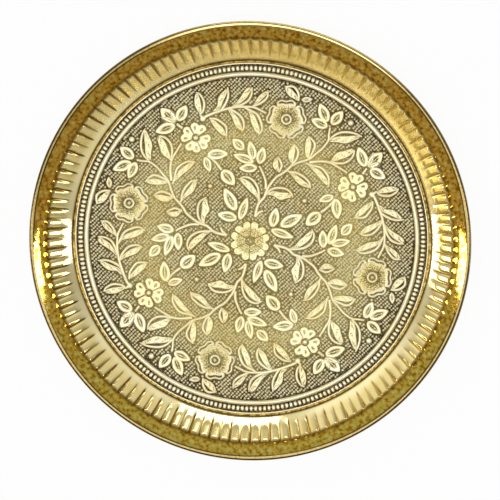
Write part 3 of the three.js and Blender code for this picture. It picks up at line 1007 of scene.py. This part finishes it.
# Stippled ground
# Small domes that the die struck in slanting rows over the whole field, left out where the flowers and leaves
# stand. They are part of the same stamped brass disc.
STIPPLE_ROW = 1.9
STIPPLE_PITCH = 1.6
STIPPLE_RADIUS = 0.86
STIPPLE_HEIGHT = 0.25
STIPPLE_SHOULDER = 0.86
STIPPLE_SHOULDER_HEIGHT = 0.8 * STIPPLE_HEIGHT
STIPPLE_SIDES = 6
STIPPLE_FIELD = 102.6
dome_points, dome_faces = stack_rings([
    turned_ring(STIPPLE_RADIUS, -SINK, STIPPLE_SIDES),
    turned_ring(STIPPLE_SHOULDER * STIPPLE_RADIUS, STIPPLE_SHOULDER_HEIGHT, STIPPLE_SIDES),
    [(0, 0, STIPPLE_HEIGHT)]])
stipple_inputs = {
    "Relief": relief, "Row": STIPPLE_ROW * MM, "Pitch": STIPPLE_PITCH * MM,
    "Rows": math.ceil(2 * STIPPLE_FIELD / STIPPLE_ROW), "Dots": math.ceil(2 * STIPPLE_FIELD / STIPPLE_PITCH),
    "Turn": Vector((0, 0, math.radians(45))), "Field Radius": STIPPLE_FIELD * MM,
    "Level": Vector((0, 0, FIELD_LEVEL * MM)), "Clearance": 0.85 * MM, "Stray": 0.2 * MM, "Smallest": 0.8,
    "Largest": 1.12, "Seed": 7, "Finish": antique_brass}
tree, given = new_shaper("stipple_on_field", stipple_inputs)
grid_inputs = {}
for axis, count, gap in (("X", given["Dots"], given["Pitch"]), ("Y", given["Rows"], given["Row"])):
    gaps = add_math(tree, "SUBTRACT", count, 1.0)
    grid_inputs["Size " + axis] = add_math(tree, "MULTIPLY", gaps, gap)
    grid_inputs["Vertices " + axis] = count
grid = add_node(tree, "GeometryNodeMeshGrid", grid_inputs)
turn = add_node(tree, "FunctionNodeEulerToRotation", {"Euler": given["Turn"]})
slanted = add_node(tree, "GeometryNodeTransform", {
    "Geometry": grid, "Translation": given["Level"], "Rotation": turn})
spot = add_node(tree, "GeometryNodeInputPosition")
outside = add_node(tree, "FunctionNodeCompare", {
    "A": from_axis(tree, spot), "B": given["Field Radius"]}, operation="GREATER_THAN")
raised = add_node(tree, "GeometryNodeObjectInfo", {"Object": given["Relief"]}).outputs["Geometry"]
nearest = add_node(tree, "GeometryNodeProximity", {
    "Geometry": raised, "Sample Position": spot}, target_element="FACES")
covered = add_node(tree, "FunctionNodeCompare", {
    "A": nearest.outputs["Distance"], "B": given["Clearance"]}, operation="LESS_THAN")
either = add_node(tree, "FunctionNodeBooleanMath", {0: outside, 1: covered}, operation="OR")
kept = add_node(tree, "GeometryNodeDeleteGeometry", {
    "Geometry": slanted, "Selection": either}, domain="POINT")
sizes = add_node(tree, "FunctionNodeRandomValue", {
    2: given["Smallest"], 3: given["Largest"], "Seed": given["Seed"]}, data_type="FLOAT")
aside = add_node(tree, "FunctionNodeRandomValue", {
    0: (-1.0, -1.0, 0.0), 1: (1.0, 1.0, 0.0), "Seed": given["Seed"]}, data_type="FLOAT_VECTOR")
aside = add_node(tree, "ShaderNodeVectorMath", {0: aside, "Scale": given["Stray"]}, operation="SCALE")
strayed = add_node(tree, "GeometryNodeSetPosition", {"Geometry": kept, "Offset": aside})
domes = add_node(tree, "GeometryNodeInstanceOnPoints", {
    "Points": strayed, "Instance": given["Geometry"], "Rotation": turn, "Scale": sizes})
end_shaper(tree, domes, given["Finish"])
dome_mesh = new_mesh("stipple_dome", dome_points, dome_faces)
stipple = shape_piece("stippled_ground", dome_mesh, tree, stipple_inputs)
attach(stipple, "root")
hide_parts("medallion")

# Bead border
# Beaded brass wire laid round the edge of the medallion and soldered down: square-shouldered beads on a thin
# core wire, with the same antique wash between them.
BEAD_RING = 108.9
BEAD_HALF_LENGTH = 0.9
BEAD_HALF_WIDTH = 1.38
BEAD_TOP = 0.95
# One corner of a bead, as shares of its half sizes, and its levels: shares of those sizes and of its height.
BEAD_CORNER = [(1, 0.6), (0.85, 0.85), (0.6, 1), (0.5, 1)]
BEAD_LEVELS = ((1.0, -SINK), (1.0, 0.65), (0.86, 0.93), (0.5, 1.0))


def square_bead():
    """One closed bead: a rounded square block with a domed top, on the field at the ring's radius."""
    corner = BEAD_CORNER
    loop = []
    for _ in range(4):
        loop += corner
        corner = [(-y, x) for x, y in corner]
    rings = []
    for share, height in BEAD_LEVELS:
        level = FIELD_LEVEL + height * BEAD_TOP
        rings.append([(BEAD_RING + x * share * BEAD_HALF_WIDTH, y * share * BEAD_HALF_LENGTH, level)
                      for x, y in loop])
    return new_mesh("square_bead", *stack_rings(rings))


def swept_ring(tree, radius, level, half_width, height, sides, steps):
    """A half-round ring about the plate's axis, standing on the field."""
    circle = add_node(tree, "GeometryNodeCurvePrimitiveCircle", {
        "Resolution": steps, "Radius": radius}, mode="RADIUS")
    upright = add_node(tree, "GeometryNodeSetCurveNormal", {"Curve": circle}, mode="Z_UP")
    section = half_round_section(tree, sides, half_width, height)
    swept = add_node(tree, "GeometryNodeCurveToMesh", {"Curve": upright, "Profile Curve": section})
    return add_node(tree, "GeometryNodeTransform", {"Geometry": swept, "Translation": level})


wire_level = Vector((0, 0, (FIELD_LEVEL - SINK) * MM))
bead_inputs = {
    "Bead Count": 240, "Ring Radius": BEAD_RING * MM, "Level": wire_level, "Link Half Width": 0.75 * MM,
    "Link Height": (0.05 + SINK) * MM, "Link Sides": 5, "Finish": antique_brass}
tree, given = new_shaper("beads_on_wire", bead_inputs)
beads = turned_copies(tree, given["Geometry"], given["Bead Count"])
link = swept_ring(tree, given["Ring Radius"], given["Level"], given["Link Half Width"], given["Link Height"],
                  given["Link Sides"], given["Bead Count"])
beaded = add_node(tree, "GeometryNodeJoinGeometry", {"Geometry": [beads, link]})
end_shaper(tree, beaded, given["Finish"])
bead_border = shape_piece("beaded_wire", square_bead(), tree, bead_inputs)
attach(bead_border, "root")
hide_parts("bead_border")

# Plain border
# Half-round brass wire soldered down inside the beads. It frames the floral field, and is rubbed pale on top.
plain_inputs = {
    "Ring Radius": 105.2 * MM, "Level": wire_level, "Half Width": 1.45 * MM, "Height": (0.95 + SINK) * MM,
    "Sides": 9, "Steps": 360, "Finish": antique_brass}
tree, given = new_shaper("plain_ring", plain_inputs)
ring = swept_ring(tree, given["Ring Radius"], given["Level"], given["Half Width"], given["Height"],
                  given["Sides"], given["Steps"])
end_shaper(tree, ring, given["Finish"])
plain_border = shape_piece("plain_wire", bpy.data.meshes.new("plain_wire"), tree, plain_inputs)
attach(plain_border, "root")
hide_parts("plain_border")

# Floor
# A plain white table top a hair below the plate, wide enough to fill every view. It keeps the plate's shadow.
FLOOR_HALF = 4000
FLOOR_LEVEL = -0.1
WHITE_SHARE = 0.95
corners = [(x * FLOOR_HALF, y * FLOOR_HALF, FLOOR_LEVEL) for x, y in ((-1, -1), (1, -1), (1, 1), (-1, 1))]
floor = new_piece("table_top", new_mesh("table_top", corners, [(0, 1, 2, 3)]))
white_top = bpy.data.materials.new("white_table_top")
tree = empty_tree(white_top)
paint = add_node(tree, "ShaderNodeBsdfDiffuse", {"Color": linear("#F4F4F4")})
glow = add_node(tree, "ShaderNodeEmission", {"Color": linear("#FFFFFF"), "Strength": 1.0})
rays = add_node(tree, "ShaderNodeLightPath").outputs
seen = rays["Is Camera Ray"]
for ray in ("Is Glossy Ray", "Is Transmission Ray"):
    seen = add_math(tree, "MAXIMUM", seen, rays[ray])
share = add_math(tree, "MULTIPLY", seen, WHITE_SHARE)
mixed = add_node(tree, "ShaderNodeMixShader", {0: share, 1: paint, 2: glow})
add_node(tree, "ShaderNodeOutputMaterial", {"Surface": mixed})
floor.data.materials.append(white_top)

# Studio light
# A low and a high panel on the left and on the right, a low panel beyond the top of the plate, a softbox
# overhead, and a room that is brightest low down and darkest overhead, with a dimmer patch on each wall but
# the near one. Low down its left and far sides are the brighter ones.
ROOM_LEAN = (0.16, -0.22, 0.0)
ROOM_LEVEL = 1.15
FAR_SIDE = 0.4
ROOM_STOPS = ((0.0, "#FFFFFF"), (0.25, "#EBEBEB"), (0.45, "#BFBFBF"), (0.7, "#A9A9A9"), (1.0, "#949494"))
WALL_STOPS = ((0.82, "#FFFFFF"), (0.97, "#C0C0C0"))
world = bpy.data.worlds.new("studio_room")
bpy.context.scene.world = world
tree = empty_tree(world)
direction = add_node(tree, "ShaderNodeTexCoord").outputs["Generated"]
parts = add_node(tree, "ShaderNodeSeparateXYZ", {"Vector": direction}).outputs
room = add_ramp(tree, parts["Z"], ROOM_STOPS)
lean = add_node(tree, "ShaderNodeVectorMath", {0: direction, 1: ROOM_LEAN}, operation="DOT_PRODUCT")
lowness = add_math(tree, "SUBTRACT", 1.0, parts["Z"])
lean = add_math(tree, "MULTIPLY", lean, lowness)
level = add_math(tree, "SUBTRACT", ROOM_LEVEL, lean)
high = add_math(tree, "MULTIPLY", parts["Y"], parts["Z"])
level = add_math(tree, "MULTIPLY_ADD", high, FAR_SIDE, level)
sideways = add_math(tree, "ABSOLUTE", parts["X"])
facing = add_math(tree, "MAXIMUM", sideways, parts["Y"])
walls = add_ramp(tree, facing, WALL_STOPS)
room = add_node(tree, "ShaderNodeMix", {
    "Factor": 1.0, UNDER: room, OVER: walls}, data_type="RGBA", blend_type="MULTIPLY")
background = add_node(tree, "ShaderNodeBackground", {"Color": room, "Strength": level})
add_node(tree, "ShaderNodeOutputWorld", {"Surface": background})

# Each lamp's place, the point it faces, its width and height in metres, and how bright it looks in a mirror.
LAMPS = {
    "right_panel": ((1.3, -0.18, 0.35), (0, -0.18, 0.35), 0.29, 0.18, 5.0),
    "right_high_panel": ((1.3, -0.42, 4.6), (0, -0.42, 4.6), 0.42, 2.1, 12.0),
    "left_panel": ((-1.3, -0.16, 0.08), (0, -0.16, 0.08), 0.44, 0.14, 5.0),
    "left_high_panel": ((-1.3, -0.32, 2.6), (0, -0.32, 2.6), 0.25, 0.95, 12.0),
    "top_panel": ((0.07, 1.5, 0.56), (0.07, 0, 0.56), 1.04, 0.088, 5.0),
    "overhead_softbox": ((-0.16, -0.26, 2.0), (0, 0, 0), 0.9, 0.9, 3.6),
}
for name, (place, aim, width, height, radiance) in LAMPS.items():
    lamp = bpy.data.lights.new(name, "AREA")
    lamp.shape = "RECTANGLE"
    lamp.size = width
    lamp.size_y = height
    lamp.energy = radiance * math.pi * width * height
    holder = new_piece(name, lamp)
    holder.location = place
    holder.rotation_euler = (Vector(aim) - Vector(place)).to_track_quat("-Z", "Y").to_euler()
    holder.visible_camera = False

# Camera
# A long lens almost straight above the plate, a little towards its right and its top, as in the photograph.
CAMERA_DISTANCE = 3.0
CAMERA_LENS = 342.9
CAMERA_SENSOR = 36
CAMERA_RIGHT = math.radians(5.5)
CAMERA_UP = math.radians(8.5)
AIM = MM * Vector((0.57, -4.76, 16))
camera = new_piece("camera", bpy.data.cameras.new("camera"))
camera.data.lens = CAMERA_LENS
camera.data.sensor_width = CAMERA_SENSOR
toward = Vector((math.tan(CAMERA_RIGHT), math.tan(CAMERA_UP), 1)).normalized()
image_right = Vector((0, 1, 0)).cross(toward).normalized()
image_up = toward.cross(image_right)
camera.location = AIM + CAMERA_DISTANCE * toward
camera.rotation_mode = "QUATERNION"
camera.rotation_quaternion = Matrix((image_right, image_up, toward)).transposed().to_quaternion()
bpy.context.scene.camera = camera
bpy.context.scene.view_settings.view_transform = "Standard"

bpy.context.view_layer.update()
